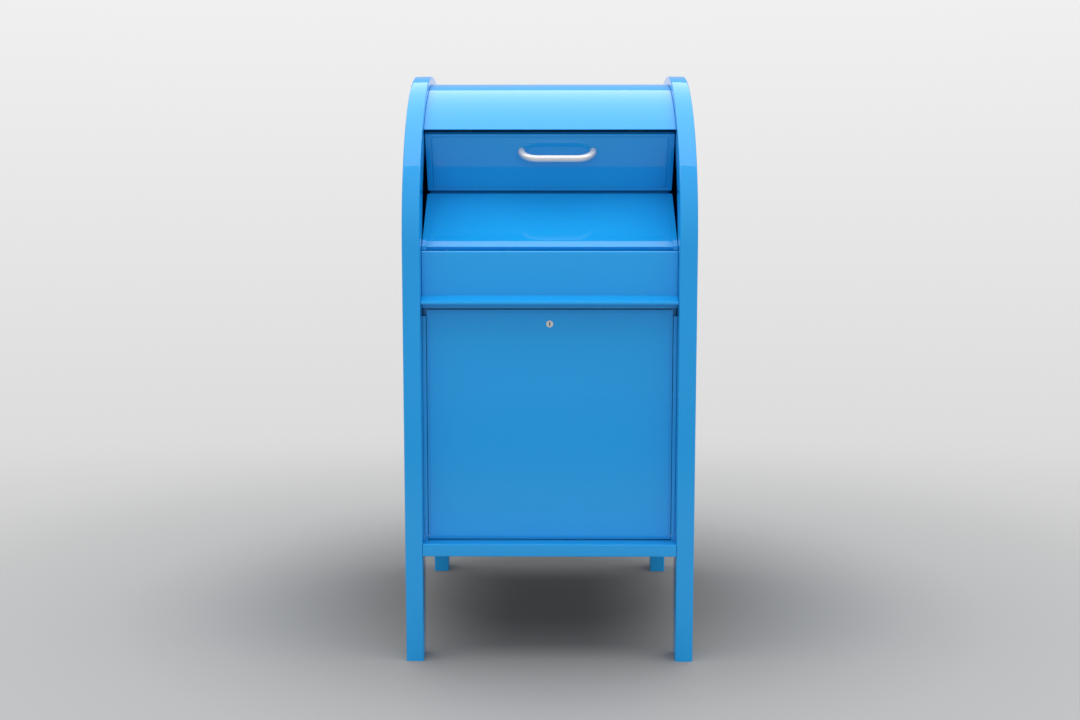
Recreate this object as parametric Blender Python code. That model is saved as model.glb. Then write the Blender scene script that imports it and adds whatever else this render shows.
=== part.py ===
"""Dome-topped street mailbox in painted sheet steel, with its front facing -Y and its feet on Z = 0.

Two bent tube frames carry the walls. A tipping hopper door closes by its own counterweight, and a
drop-down access door with a cam lock opens the mail compartment. Sizes are in metres.
"""

from math import atan2, ceil, cos, pi, radians, sin, sqrt

import bmesh
import bpy
from mathutils import Matrix, Vector

# Overall size
WIDTH = 0.550
DEPTH = 0.690
HEIGHT = 1.136

# Clearances
TOUCH = 0.0003  # between pieces that touch or are fastened to each other
RUNNING = 0.0012  # beside a door that swings
SHAFT_PLAY = 0.0003  # round a pin, rod or core

# Bent tube frames and rails
TUBE_WIDTH = 0.0335
TUBE_DEPTH = 0.058
TUBE_WALL = 0.0025
TUBE_CORNER = 0.003
CORNER_STEPS = 2
ARCH_STEPS = 32
RAIL_BOTTOM = 0.2061
RAIL_HEIGHT = 0.0236
RAIL_WALL = 0.002
RAIL_CORNER = 0.0015

# Sheet walls
SHEET = 0.002
ROOF_INSET = 0.016
ROOF_EDGE = radians(43.0)
ROOF_LAP = 0.015
REAR_LAP = 0.014
FLOOR_LIP = 0.020
FLOOR_GAP = 0.001
FLOOR_REST = 0.0015

# Front faces, as distances behind the front plane and as heights
PANEL_SETBACK = 0.031
PANEL_HEIGHT = 0.0827
PANEL_BEND = 0.004
LEDGE_SEAT = 0.0022
PANEL_LAP = 0.014
LEDGE_SETBACK = 0.0413
LEDGE_DROP = 0.0071
CAP_FRONT = 0.005
CAP_FALL = 0.0117
CAP_LIP = 0.0049
HEADER_SHOWN = 0.0087
DOOR_FACE_SETBACK = 0.0355
DOOR_TOP_GAP = 0.0038
DOOR_BOTTOM_GAP = 0.0021

# Hopper and ledge
HOPPER_LEAN = radians(28.0)
HOPPER_LENGTH = 0.1280
HOPPER_TOP_INSET = 0.012
HOPPER_TOP_ANGLE = radians(43.6)
HOPPER_DEPTH = 0.012
HOPPER_RAISE = 0.002
HOPPER_SIDE_BORDER = 0.0088
HOPPER_TOP_BORDER = 0.0055
BORDER_START = 0.0108
LEDGE_SLOPE = radians(37.56)
LEDGE_REAR_FLANGE = 0.020
TRIM_WIDTH = 0.0088
TRIM_RAISE = 0.0032
TRIM_START = 0.0105
TRIM_LIFT = 0.0006

# Hopper hinge, tray and counterweight
HINGE_SETBACK = 0.0015
KNUCKLE_RADIUS = 0.0042
HINGE_PIN_RADIUS = 0.002
LEAF = 0.002
LEAF_LENGTH = 0.022
LEAF_SINK = 0.0004
KNUCKLES = 7
KNUCKLE_GAP = 0.0006
TRAY_STEP = 0.016
TRAY_LENGTH = 0.115
TRAY_ANGLE = radians(110.0)
CHEEK = 0.0016
CHEEK_SHORTER = 0.0210
CHEEK_STEPS = 10
WEIGHT_DEPTH = 0.032
WEIGHT_THICKNESS = 0.012
WEIGHT_SHORTER = 0.012
STOP_GAP = 0.0042
STOP_OVERLAP = 0.0104
STOP_FLANGE_STEPS = 3
BUMPER_WIDTH = 0.030
BUMPER_HEIGHT = 0.008
BUMPER_PLACE = 0.150
BAFFLE_BEHIND = 0.275
BAFFLE_LOW = 0.106
BAFFLE_FLANGE_STEPS = 2

# Hopper handle
HANDLE_RADIUS = 0.0067
HANDLE_HALF_WIDTH = 0.0692
HANDLE_ASIDE = 0.0143
HANDLE_BEND = 0.032
HANDLE_STRAIGHT = 0.004
HANDLE_UP = 0.0905
HANDLE_INSIDE = 0.0095
NUT_RADIUS = 0.012
NUT_HEIGHT = 0.006

# Access door
SKIN = 0.0015
DOOR_DEPTH = 0.015
DOOR_BORDER = 0.0067
DOOR_RAISE = 0.0015
JAMB_FACE = 0.0069
JAMB_SHEET = 0.0015
JAMB_STOP = 0.016
SEAL = 0.0024
SEAL_WIDTH = 0.009
SEAL_RISE = 0.0096
DOOR_AXIS_BACK = 0.0041
DOOR_AXIS_UP = 0.0074
DOOR_PIN_RADIUS = 0.002
DOOR_PIN_CHAMFER = 0.0006
STIFFENER_WIDTH = 0.024
STIFFENER_FOOT = 0.010
STIFFENER_DEPTH = 0.028
STIFFENER_SHEET = 0.002
STIFFENER_END_GAP = 0.060
STIFFENER_PLACE = 0.130
CENTRE_STIFFENER_DROP = 0.055

# Lock
LOCK_DROP = 0.0264
LOCK_CORE_RADIUS = 0.0046
LOCK_WALL = 0.0009
LOCK_FLANGE = 0.0008
LOCK_PROUD = 0.0013
LOCK_NUT_WALL = 0.004
LOCK_NUT_HEIGHT = 0.004
KEYHOLE_RADIUS = 0.0013
KEYHOLE_SLOT = 0.0014
KEYHOLE_LENGTH = 0.0032
KEYHOLE_DEPTH = 0.012
CAM_THICKNESS = 0.0025
CAM_WIDTH = 0.012
CAM_REACH = 0.026
CAM_GAP = 0.0008
CAM_SCREW_RADIUS = 0.0042
CAM_SCREW_HEIGHT = 0.0026
STRIKE_WIDTH = 0.050
STRIKE_HEIGHT = 0.016
HEADER_STOP_DROP = 0.0112

# Foot plugs
PLUG_HEIGHT = 0.022
PLUG_CORNER = 0.0009

# Places that follow from the sizes above
FRONT = -DEPTH / 2
REAR = DEPTH / 2
ARCH_RADIUS = DEPTH / 2
SPRING = HEIGHT - ARCH_RADIUS
TUBE_INNER = WIDTH / 2 - TUBE_WIDTH
TUBE_MIDDLE = WIDTH / 2 - TUBE_WIDTH / 2
HALF_SPAN = TUBE_INNER - TOUCH
RAIL_TOP = RAIL_BOTTOM + RAIL_HEIGHT
ROOF_RADIUS = ARCH_RADIUS - ROOF_INSET
ROOF_UNDER = ROOF_RADIUS - SHEET
ROOF_STEPS = ARCH_STEPS * 3 // 4


def polar(radius, angle):
    """The (y, z) of a point on a circle about the arch's centre, with its angle up from the front."""
    return Vector((-radius * cos(angle), SPRING + radius * sin(angle)))


DOOR_ALONG = Vector((-sin(HOPPER_LEAN), cos(HOPPER_LEAN)))
DOOR_INWARD = Vector((cos(HOPPER_LEAN), sin(HOPPER_LEAN)))
LEDGE_ALONG = Vector((-cos(LEDGE_SLOPE), -sin(LEDGE_SLOPE)))
LEDGE_INWARD = Vector((sin(LEDGE_SLOPE), -cos(LEDGE_SLOPE)))
HOPPER_TOP = polar(ROOF_RADIUS - HOPPER_TOP_INSET, HOPPER_TOP_ANGLE)
CORNER = HOPPER_TOP - DOOR_ALONG * HOPPER_LENGTH
HINGE = CORNER + (DOOR_INWARD + LEDGE_INWARD).normalized() * HINGE_SETBACK
LEDGE_LENGTH = (CORNER.x - FRONT - LEDGE_SETBACK) / cos(LEDGE_SLOPE)
LEDGE_FRONT = CORNER + LEDGE_ALONG * LEDGE_LENGTH
LEDGE_LIP = (LEDGE_DROP - TOUCH) / cos(LEDGE_SLOPE)
PANEL_TOP = LEDGE_FRONT.y - LEDGE_DROP
PANEL_FACE = FRONT + PANEL_SETBACK
CAP_BACK = PANEL_TOP - PANEL_HEIGHT
CAP_EDGE = CAP_BACK - CAP_FALL
CAP_BOTTOM = CAP_EDGE - CAP_LIP
HEADER_BOTTOM = CAP_BOTTOM - HEADER_SHOWN
HEADER_FACE = PANEL_FACE + SHEET + TOUCH
DOOR_FACE = FRONT + DOOR_FACE_SETBACK
DOOR_BACK = DOOR_FACE + DOOR_DEPTH
DOOR_TOP = HEADER_BOTTOM - DOOR_TOP_GAP
DOOR_BOTTOM = RAIL_TOP + DOOR_BOTTOM_GAP
DOOR_HALF = HALF_SPAN - JAMB_FACE - RUNNING
DOOR_AXIS = Vector((DOOR_FACE + DOOR_AXIS_BACK, RAIL_TOP + DOOR_AXIS_UP))
STOP_FACE = DOOR_BACK + TOUCH + SEAL + TOUCH
LOCK_HEIGHT = DOOR_TOP - LOCK_DROP
LOCK_BODY_RADIUS = LOCK_CORE_RADIUS + SHAFT_PLAY + LOCK_WALL
LOCK_FACE_RADIUS = LOCK_BODY_RADIUS + LOCK_FLANGE
FLOOR_FRONT = STOP_FACE + SHEET + FLOOR_GAP
RAIL_DEPTH = FLOOR_FRONT + FLOOR_REST - FRONT
CAM_FRONT = STOP_FACE + 2 * SHEET + TOUCH + CAM_GAP
HOPPER_HALF = TUBE_INNER - RUNNING
CHEEK_RADIUS = HOPPER_LENGTH - CHEEK_SHORTER
CHEEK_OUTER = HOPPER_HALF - SHEET - TOUCH
TRAY_HALF = CHEEK_OUTER - CHEEK - TOUCH

COLOURS = {
    "paint_blue": ((0.032, 0.296, 0.665, 1.0), 0.22, 0.0),
    "paint_black": ((0.012, 0.012, 0.013, 1.0), 0.45, 0.0),
    "stainless": ((0.80, 0.81, 0.82, 1.0), 0.25, 1.0),
    "zinc_steel": ((0.46, 0.48, 0.50, 1.0), 0.42, 1.0),
    "black_rubber": ((0.012, 0.012, 0.013, 1.0), 0.75, 0.0),
    "black_plastic": ((0.020, 0.020, 0.021, 1.0), 0.55, 0.0),
    "lock_chrome": ((0.86, 0.86, 0.85, 1.0), 0.18, 1.0),
}


def clear_scene():
    for item in list(bpy.data.objects):
        bpy.data.objects.remove(item, do_unlink=True)


def material(name, node):
    """Each sub-part has its own material, with the finish's colour, roughness and metallic value."""
    colour, roughness, metallic = COLOURS[name]
    made = bpy.data.materials.new(f"{name}.{node}")
    made.use_nodes = True
    shader = made.node_tree.nodes["Principled BSDF"]
    shader.inputs["Base Color"].default_value = colour
    shader.inputs["Roughness"].default_value = roughness
    shader.inputs["Metallic"].default_value = metallic
    made.diffuse_color = colour
    return made


def add_object(name, bm, finish, parent=None, smooth=False):
    """Turns a bmesh into a named object, with its normals outward, under its joint's empty."""
    bmesh.ops.recalc_face_normals(bm, faces=bm.faces)
    mesh = bpy.data.meshes.new(name)
    bm.to_mesh(mesh)
    bm.free()
    if smooth:
        mesh.shade_smooth()
        mesh.set_sharp_from_angle(angle=radians(35))
    mesh.materials.append(material(finish, name))
    item = bpy.data.objects.new(name, mesh)
    item.parent = parent
    bpy.context.scene.collection.objects.link(item)
    return item


def add_axis(name, place, lean=0.0, parent=None):
    """An empty on a joint's axis. A moving piece is modelled in its frame."""
    empty = bpy.data.objects.new(name, None)
    empty.location = place
    empty.rotation_euler.x = lean
    empty.parent = parent
    bpy.context.scene.collection.objects.link(empty)
    return empty


def boolean(target, tool, operation="DIFFERENCE"):
    """Cuts or joins the target with a hidden helper."""
    tool.hide_render = True
    tool.display_type = "WIRE"
    change = target.modifiers.new(f"{operation.lower()}_{tool.name}", "BOOLEAN")
    change.operation = operation
    change.solver = "EXACT"
    change.object = tool


def place_point(axis, across, up, along):
    """A 3-D point from a point of an outline and its place along the extrusion axis."""
    if axis == "X":
        return Vector((along, across, up))
    if axis == "Y":
        return Vector((across, along, up))
    return Vector((across, up, along))


def pull(bm, faces, offset, inner=False):
    """Extrudes faces by an offset and gives the new end faces. Inner faces don't stay behind."""
    grown = bmesh.ops.extrude_face_region(bm, geom=faces)["geom"]
    if inner:
        bmesh.ops.delete(bm, geom=[f for f in faces if f.is_valid], context="FACES_ONLY")
    bmesh.ops.translate(bm, verts=[g for g in grown if isinstance(g, bmesh.types.BMVert)], vec=offset)
    return [g for g in grown if isinstance(g, bmesh.types.BMFace)]


def prism(name, outline, low, high, finish, axis="X", parent=None, smooth=False):
    """A closed outline drawn square to an axis and extruded along it from low to high."""
    bm = bmesh.new()
    corners = [bm.verts.new(place_point(axis, p[0], p[1], low)) for p in outline]
    face = bm.faces.new(corners)
    pull(bm, [face], place_point(axis, 0, 0, high - low))
    return add_object(name, bm, finish, parent, smooth)


def box(name, low, high, finish, parent=None):
    outline = [(low[1], low[2]), (high[1], low[2]), (high[1], high[2]), (low[1], high[2])]
    return prism(name, outline, low[0], high[0], finish, parent=parent)


def sheet_outline(path, thickness):
    """The outline of a bent sheet whose one face follows the path, with the metal on its left."""
    points = [Vector(p) for p in path]
    offset = []
    for index, point in enumerate(points):
        before = (point - points[index - 1]).normalized() if index else None
        after = (points[index + 1] - point).normalized() if index + 1 < len(points) else None
        first = before or after
        last = after or before
        left = Vector((-first.y - last.y, first.x + last.x)).normalized()
        square = Vector((-last.y, last.x))
        offset.append(point + left * (thickness / left.dot(square)))
    return points + offset[::-1]


def arc(centre, radius, start, end, steps):
    """Points on an arc, with angles turning from +Y towards +Z."""
    turn = (end - start) / steps
    return [
        centre + Vector((cos(start + turn * i), sin(start + turn * i))) * radius for i in range(steps + 1)
    ]


def roof_arc(radius, first_step, last_step):
    """Points under or on the roof at its own facet corners, counted from its front edge."""
    turn = (pi - ROOF_EDGE) / ROOF_STEPS
    return [polar(radius, ROOF_EDGE + turn * i) for i in range(first_step, last_step + 1)]


def tube_section(bm, corners, radius, wall):
    """The ring of faces of a rectangular tube's end, with its corners rounded."""
    face = bm.faces.new([bm.verts.new(c) for c in corners])
    bmesh.ops.bevel(
        bm,
        geom=list(face.verts),
        offset=radius,
        offset_type="OFFSET",
        segments=CORNER_STEPS,
        profile=0.5,
        affect="VERTICES",
    )
    bm.faces.ensure_lookup_table()
    middle = bm.faces[0]
    ring = bmesh.ops.inset_individual(bm, faces=[middle], thickness=wall)["faces"]
    bmesh.ops.delete(bm, geom=[middle], context="FACES_ONLY")
    return ring


def round_bar(bm, radius, low, high, axis="X", centre=(0, 0), sides=20):
    """Adds a closed cylinder along an axis."""
    turned = {"X": Matrix.Rotation(pi / 2, 4, "Y"), "Y": Matrix.Rotation(pi / 2, 4, "X"), "Z": Matrix()}
    middle = place_point(axis, centre[0], centre[1], (low + high) / 2)
    bmesh.ops.create_cone(
        bm,
        cap_ends=True,
        segments=sides,
        radius1=radius,
        radius2=radius,
        depth=high - low,
        matrix=Matrix.Translation(middle) @ turned[axis],
    )


def turned_solid(name, profile, finish, axis="Y", parent=None, sides=24):
    """Turns a closed profile of (radius, place along the axis) points once round the axis."""
    bm = bmesh.new()
    corners = [bm.verts.new(place_point(axis, p[0], 0, p[1])) for p in profile]
    edges = [bm.edges.new((corners[i - 1], corners[i])) for i in range(len(corners))]
    spin_axis = place_point(axis, 0, 0, 1)
    bmesh.ops.spin(
        bm,
        geom=corners + edges,
        cent=(0, 0, 0),
        axis=spin_axis,
        angle=2 * pi,
        steps=sides,
        use_merge=True,
    )
    bmesh.ops.remove_doubles(bm, verts=bm.verts, dist=1e-6)
    bmesh.ops.dissolve_degenerate(bm, edges=bm.edges, dist=1e-7)
    return add_object(name, bm, finish, parent, smooth=True)


def cutter(name, radius, low, high, axis, centre, parent=None, sides=20):
    bm = bmesh.new()
    round_bar(bm, radius, low, high, axis, centre, sides)
    return add_object(name, bm, "zinc_steel", parent)


def mirrored(sign, low, high):
    """A span on the right side, or its mirror on the left."""
    return (low, high) if sign > 0 else (-high, -low)


SIDES = (("left", -1), ("right", 1))


def arch_frames():
    """One tube on each side, bent up from the front foot, over the dome and down to the rear foot."""
    for side, sign in SIDES:
        low, high = mirrored(sign, TUBE_INNER, WIDTH / 2)
        bm = bmesh.new()
        back = FRONT + TUBE_DEPTH
        corners = [(low, FRONT, 0), (high, FRONT, 0), (high, back, 0), (low, back, 0)]
        ring = tube_section(bm, corners, TUBE_CORNER, TUBE_WALL)
        ring = pull(bm, ring, (0, 0, SPRING))
        bent = bmesh.ops.spin(
            bm,
            geom=ring,
            cent=(0, 0, SPRING),
            axis=(-1, 0, 0),
            angle=pi,
            steps=ARCH_STEPS,
        )
        bmesh.ops.delete(bm, geom=[f for f in ring if f.is_valid], context="FACES_ONLY")
        ring = [g for g in bent["geom_last"] if isinstance(g, bmesh.types.BMFace)]
        pull(bm, ring, (0, 0, -SPRING), inner=True)
        add_object(f"arch_frame_{side}", bm, "paint_blue", smooth=True)


def rails():
    """Square-cut tubes between the legs, under the walls."""
    spans = {"front_rail": FRONT, "rear_rail": REAR - RAIL_DEPTH}
    for name, start in spans.items():
        bm = bmesh.new()
        end = start + RAIL_DEPTH
        heights = [(start, RAIL_BOTTOM), (end, RAIL_BOTTOM), (end, RAIL_TOP), (start, RAIL_TOP)]
        ring = tube_section(bm, [(-HALF_SPAN, y, z) for y, z in heights], RAIL_CORNER, RAIL_WALL)
        pull(bm, ring, (2 * HALF_SPAN, 0, 0))
        add_object(name, bm, "paint_blue", smooth=True)
    for side, sign in SIDES:
        low, high = mirrored(sign, TUBE_INNER, WIDTH / 2)
        start = FRONT + TUBE_DEPTH + TOUCH
        bm = bmesh.new()
        widths = [(low, RAIL_BOTTOM), (high, RAIL_BOTTOM), (high, RAIL_TOP), (low, RAIL_TOP)]
        ring = tube_section(bm, [(x, start, z) for x, z in widths], RAIL_CORNER, RAIL_WALL)
        pull(bm, ring, (0, -2 * start, 0))
        add_object(f"side_rail_{side}", bm, "paint_blue", smooth=True)


def walls():
    """The side sheets in the arches, the roof, the rear wall that it laps over, and the floor."""
    fill = ARCH_RADIUS - TUBE_DEPTH - TOUCH
    outline = [Vector((-fill, RAIL_TOP + TOUCH)), Vector((fill, RAIL_TOP + TOUCH))]
    outline += arc(Vector((0, SPRING)), fill, 0, pi, ARCH_STEPS)
    for side, sign in SIDES:
        low, high = mirrored(sign, TUBE_MIDDLE - SHEET / 2, TUBE_MIDDLE + SHEET / 2)
        prism(f"side_panel_{side}", outline, low, high, "paint_blue", smooth=True)
    over = roof_arc(ROOF_RADIUS, 0, ROOF_STEPS)
    over.append(Vector((ROOF_RADIUS, SPRING - ROOF_LAP)))
    roof = sheet_outline(over[::-1], SHEET)
    prism("roof_sheet", roof, -HALF_SPAN, HALF_SPAN, "paint_blue", smooth=True)
    rear_outer = ROOF_UNDER - TOUCH
    box(
        "rear_panel",
        (-HALF_SPAN, rear_outer - SHEET, RAIL_TOP + TOUCH),
        (HALF_SPAN, rear_outer, SPRING - ROOF_LAP + REAR_LAP),
        "paint_blue",
    )
    bm = bmesh.new()
    low = Vector((-HALF_SPAN, FLOOR_FRONT, RAIL_TOP + TOUCH))
    high = Vector((HALF_SPAN, rear_outer - SHEET - TOUCH, RAIL_TOP + TOUCH + FLOOR_LIP))
    bmesh.ops.create_cube(bm, size=1.0)
    bmesh.ops.scale(bm, verts=bm.verts, vec=high - low)
    bmesh.ops.translate(bm, verts=bm.verts, vec=(low + high) / 2)
    hollow(bm, Vector((0, 0, 1)), SHEET, FLOOR_LIP - SHEET)
    add_object("floor_tray", bm, "zinc_steel")


def hollow(bm, direction, wall, depth):
    """Sinks the face that looks along a direction, leaving a wall round it."""
    bm.normal_update()
    face = max(bm.faces, key=lambda f: f.normal.dot(direction))
    bmesh.ops.inset_individual(bm, faces=[face], thickness=wall)
    floor = bmesh.ops.extrude_discrete_faces(bm, faces=[face])["faces"][0]
    bmesh.ops.translate(bm, verts=floor.verts, vec=direction * -depth)


def front_panels():
    """The panel under the ledge, the drip cap, the header over the door, and the door's jambs."""
    bend = Vector((PANEL_FACE + PANEL_BEND, PANEL_TOP - PANEL_BEND))
    path = [Vector((PANEL_FACE, CAP_BACK - PANEL_LAP))]
    path += arc(bend, PANEL_BEND, pi, pi / 2, 4)
    path.append(Vector((LEDGE_FRONT.x + LEDGE_LIP * sin(LEDGE_SLOPE) + LEDGE_SEAT, PANEL_TOP)))
    prism(
        "front_upper_panel",
        sheet_outline(path[::-1], SHEET),
        -HALF_SPAN,
        HALF_SPAN,
        "paint_blue",
        smooth=True,
    )
    edge = Vector((FRONT + CAP_FRONT, CAP_EDGE))
    fall = atan2(CAP_FALL, PANEL_SETBACK - CAP_FRONT)
    root = Vector((PANEL_FACE, CAP_BACK))
    root -= (root - edge).normalized() * (TOUCH / cos(fall) + SHEET * sin(fall) / cos(fall))
    cap = [root, edge, Vector((edge.x, CAP_BOTTOM))]
    prism("drip_cap", sheet_outline(cap, SHEET), -HALF_SPAN, HALF_SPAN, "paint_blue")
    shelf = PANEL_TOP - PANEL_BEND - 2 * SHEET
    header = [
        Vector((HEADER_FACE, HEADER_BOTTOM)),
        Vector((HEADER_FACE, shelf)),
        Vector((STOP_FACE + SHEET, shelf)),
        Vector((STOP_FACE + SHEET, DOOR_TOP - HEADER_STOP_DROP)),
    ]
    prism("header", sheet_outline(header[::-1], SHEET), -HALF_SPAN, HALF_SPAN, "paint_blue")
    jamb_leg = HALF_SPAN - SHEET
    for side, sign in SIDES:
        outline = [
            (HALF_SPAN - JAMB_FACE, DOOR_FACE),
            (HALF_SPAN, DOOR_FACE),
            (HALF_SPAN, STOP_FACE + SHEET),
            (jamb_leg - JAMB_STOP, STOP_FACE + SHEET),
            (jamb_leg - JAMB_STOP, STOP_FACE),
            (jamb_leg, STOP_FACE),
            (jamb_leg, DOOR_FACE + JAMB_SHEET),
            (HALF_SPAN - JAMB_FACE, DOOR_FACE + JAMB_SHEET),
        ]
        outline = [(x * sign, y) for x, y in outline]
        low, high = RAIL_TOP + TOUCH, DOOR_TOP - HEADER_STOP_DROP - TOUCH
        jamb = prism(f"jamb_{side}", outline, low, high, "paint_blue", axis="Z")
        start, end = mirrored(sign, jamb_leg - JAMB_SHEET, HALF_SPAN + SHEET)
        hole = DOOR_PIN_RADIUS + SHAFT_PLAY
        boolean(jamb, cutter(f"jamb_hole_{side}", hole, start, end, "X", DOOR_AXIS, sides=12))


def ledge():
    """The sloping sheet under the hopper door, and the raised trim down each of its sides."""
    clear = KNUCKLE_RADIUS + TOUCH
    rear = HINGE + LEDGE_ALONG * clear
    rear += LEDGE_INWARD * (CORNER - rear).dot(LEDGE_INWARD)
    path = [
        LEDGE_FRONT + LEDGE_INWARD * LEDGE_LIP,
        LEDGE_FRONT,
        rear,
        rear + LEDGE_INWARD * LEDGE_REAR_FLANGE,
    ]
    prism("ledge_panel", sheet_outline(path[::-1], SHEET), -HALF_SPAN, HALF_SPAN, "paint_blue")
    lift = LEDGE_INWARD * -(TOUCH + TRIM_RAISE)
    front = FRONT + LEDGE_SETBACK - TOUCH - TRIM_RAISE
    start = CORNER + LEDGE_ALONG * TRIM_START + lift
    turn = start + LEDGE_ALONG * ((start.x - front) / cos(LEDGE_SLOPE))
    end = Vector((front, PANEL_TOP + TRIM_LIFT))
    for side, sign in SIDES:
        low, high = mirrored(sign, HALF_SPAN - TRIM_WIDTH, HALF_SPAN)
        outline = sheet_outline([start, turn, end], TRIM_RAISE)
        prism(f"ledge_trim_{side}", outline, low, high, "paint_blue")


def door_place(inward, along):
    """The world (y, z) of a place in the closed hopper door's frame, whose origin is the hinge."""
    return HINGE + DOOR_INWARD * inward + DOOR_ALONG * along


def hinge_leaf(name, moving, into, square, parent):
    """A hinge leaf: a plate beside the pin, with a knuckle in every other place along it."""
    reach = KNUCKLE_RADIUS + TOUCH
    half = TRAY_HALF - TOUCH
    origin = Vector((0, 0)) if parent else HINGE
    top = square * KNUCKLE_RADIUS
    low = square * (KNUCKLE_RADIUS - LEAF)
    plate = [low + into * reach, top + into * reach, top + into * LEAF_LENGTH, low + into * LEAF_LENGTH]
    leaf = prism(name, [origin + p for p in plate], -half, half, "paint_blue", parent=parent)
    pitch = 2 * half / KNUCKLES
    facets = 16
    start = atan2(square.y, square.x)
    turn = pi / facets * 2
    if (square.x * into.y - square.y * into.x) > 0:
        turn = -turn
    last = round((2 * pi - 2 * pi * 3 / facets) / abs(turn))
    ring = [
        Vector((cos(start + turn * i), sin(start + turn * i))) * KNUCKLE_RADIUS for i in range(last + 1)
    ]
    sunk = square * LEAF_SINK
    tail = [low + sunk + into * (reach + LEAF), top - sunk + into * (reach + LEAF)]
    outline = [origin + p for p in ring + tail]
    for index in range(0 if not moving else 1, KNUCKLES, 2):
        begin = -half + pitch * index + KNUCKLE_GAP / 2
        knuckle = prism(
            f"{name}_knuckle_{index}",
            outline,
            begin,
            begin + pitch - KNUCKLE_GAP,
            "paint_blue",
            parent=parent,
        )
        boolean(leaf, knuckle, "UNION")
    bore = HINGE_PIN_RADIUS + SHAFT_PLAY
    hole = cutter(f"{name}_bore", bore, -half - LEAF, half + LEAF, "X", origin, parent, sides=16)
    boolean(leaf, hole)
    return leaf


def hopper_fixed_parts():
    """What the hopper door turns on and closes against, and the baffle that guards the throat."""
    hinge_leaf("hopper_hinge_fixed", False, LEDGE_INWARD, LEDGE_ALONG, None)
    bm = bmesh.new()
    round_bar(bm, HINGE_PIN_RADIUS, -TRAY_HALF, TRAY_HALF, "X", HINGE, 16)
    add_object("hopper_hinge_pin", bm, "paint_blue", smooth=True)
    back = HOPPER_DEPTH - door_plane()
    leg = back + STOP_GAP
    door_end = (CORNER - HINGE).dot(DOOR_ALONG) + HOPPER_LENGTH
    foot = door_place(leg, door_end - STOP_OVERLAP)
    under = ROOF_UNDER - TOUCH
    to_centre = foot - Vector((0, SPRING))
    along = to_centre.dot(DOOR_ALONG)
    rise = sqrt(along * along + under * under - to_centre.length_squared) - along
    meet = foot + DOOR_ALONG * rise
    angle = atan2(meet.y - SPRING, -meet.x)
    facet = (pi - ROOF_EDGE) / ROOF_STEPS
    step = ceil((angle - ROOF_EDGE) / facet)
    chord = sheet_meets_roof(foot, DOOR_ALONG, under, step - 1, step)
    path = [foot, chord] + roof_arc(under, step, step + STOP_FLANGE_STEPS)
    prism(
        "hopper_stop_strip",
        sheet_outline(path, -SHEET),
        -HALF_SPAN,
        HALF_SPAN,
        "paint_black",
    )
    for side, sign in SIDES:
        low = door_end - BUMPER_HEIGHT
        corners = [
            door_place(back + TOUCH, low),
            door_place(leg - TOUCH, low),
            door_place(leg - TOUCH, low + BUMPER_HEIGHT),
            door_place(back + TOUCH, low + BUMPER_HEIGHT),
        ]
        start, end = mirrored(sign, BUMPER_PLACE, BUMPER_PLACE + BUMPER_WIDTH)
        prism(f"hopper_bumper_{side}", corners, start, end, "black_rubber")
    down = Vector((FRONT + BAFFLE_BEHIND, HINGE.y + BAFFLE_LOW))
    angle = atan2(sqrt(under * under - down.x * down.x), -down.x)
    step = ceil((angle - ROOF_EDGE) / facet)
    chord = sheet_meets_roof(down, Vector((0, 1)), under, step - 1, step)
    path = [down, chord] + roof_arc(under, step, step + BAFFLE_FLANGE_STEPS)
    prism(
        "throat_baffle",
        sheet_outline(path, -SHEET),
        -HALF_SPAN,
        HALF_SPAN,
        "zinc_steel",
    )


def sheet_meets_roof(start, along, radius, first_step, last_step):
    """Where a line meets the flat facet between two of the roof's facet corners."""
    first, last = roof_arc(radius, first_step, last_step)
    facet = last - first
    offset = first - start
    cross = along.x * facet.y - along.y * facet.x
    return start + along * ((offset.x * facet.y - offset.y * facet.x) / cross)


def door_plane():
    """How far the closed hopper door's outer face lies in front of its hinge's axis."""
    return (HINGE - CORNER).dot(DOOR_INWARD)


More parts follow.
